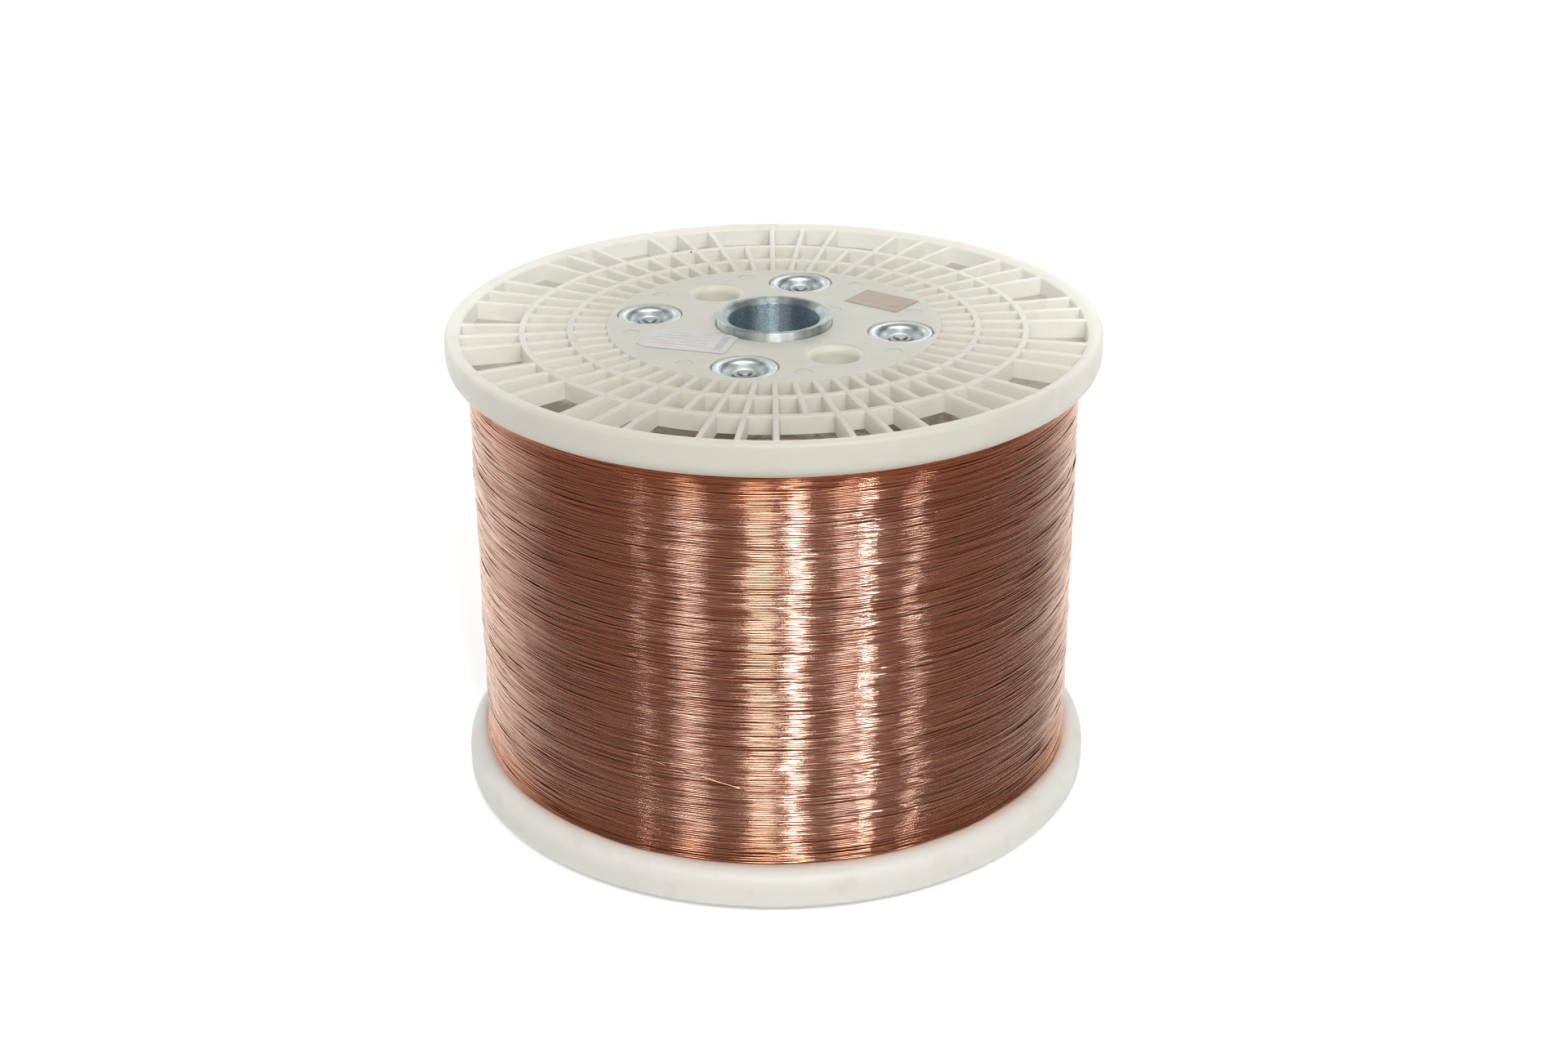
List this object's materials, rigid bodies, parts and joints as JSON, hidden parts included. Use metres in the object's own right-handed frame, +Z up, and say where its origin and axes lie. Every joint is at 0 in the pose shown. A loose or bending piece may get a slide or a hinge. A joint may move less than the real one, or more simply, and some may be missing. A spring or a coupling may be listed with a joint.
{
  "type": "wire spool",
  "caption": "Full spool of bare copper wire: ribbed round plastic flanges on a barrel, clamped by tie rods with dished cup washers, with a steel arbor tube through the middle.",
  "frame": {"origin": "on the spool's axis, at the lower end of the arbor tube, on which the spool stands", "axes": "+Z up along the arbor, -Y towards the side that the picture shows"},
  "size_m": [0.4, 0.4, 0.3],
  "materials": {
    "ivory_plastic": "ivory moulded plastic, satin, slightly scuffed",
    "grey_plastic": "dull grey plastic, hidden under the wire",
    "galvanised_steel": "galvanised steel tube, turned inside",
    "zinc_plate": "bright zinc-plated pressed steel",
    "bright_steel": "plated steel",
    "under_copper": "bare copper in the shade of the outer turns",
    "bare_copper": "bright bare copper wire",
    "white_paper": "white paper label with plain grey rules",
    "pink_paper": "faded pinkish paper tag"
  },
  "bodies": {
    "root": {"upper_flange": "ivory_plastic", "lower_flange": "ivory_plastic", "barrel": "grey_plastic", "arbor_tube": "galvanised_steel", "tie_rod_1": "bright_steel", "tie_rod_2": "bright_steel", "tie_rod_3": "bright_steel", "tie_rod_4": "bright_steel", "upper_cup_washer_1": "zinc_plate", "upper_cup_washer_2": "zinc_plate", "upper_cup_washer_3": "zinc_plate", "upper_cup_washer_4": "zinc_plate", "upper_nut_1": "bright_steel", "upper_nut_2": "bright_steel", "upper_nut_3": "bright_steel", "upper_nut_4": "bright_steel", "lower_cup_washer_1": "zinc_plate", "lower_cup_washer_2": "zinc_plate", "lower_cup_washer_3": "zinc_plate", "lower_cup_washer_4": "zinc_plate", "lower_nut_1": "bright_steel", "lower_nut_2": "bright_steel", "lower_nut_3": "bright_steel", "lower_nut_4": "bright_steel", "winding_core": "under_copper", "winding_outer_turns": "bare_copper", "paper_label": "white_paper", "size_tag": "pink_paper"}
  },
  "joints": []
}
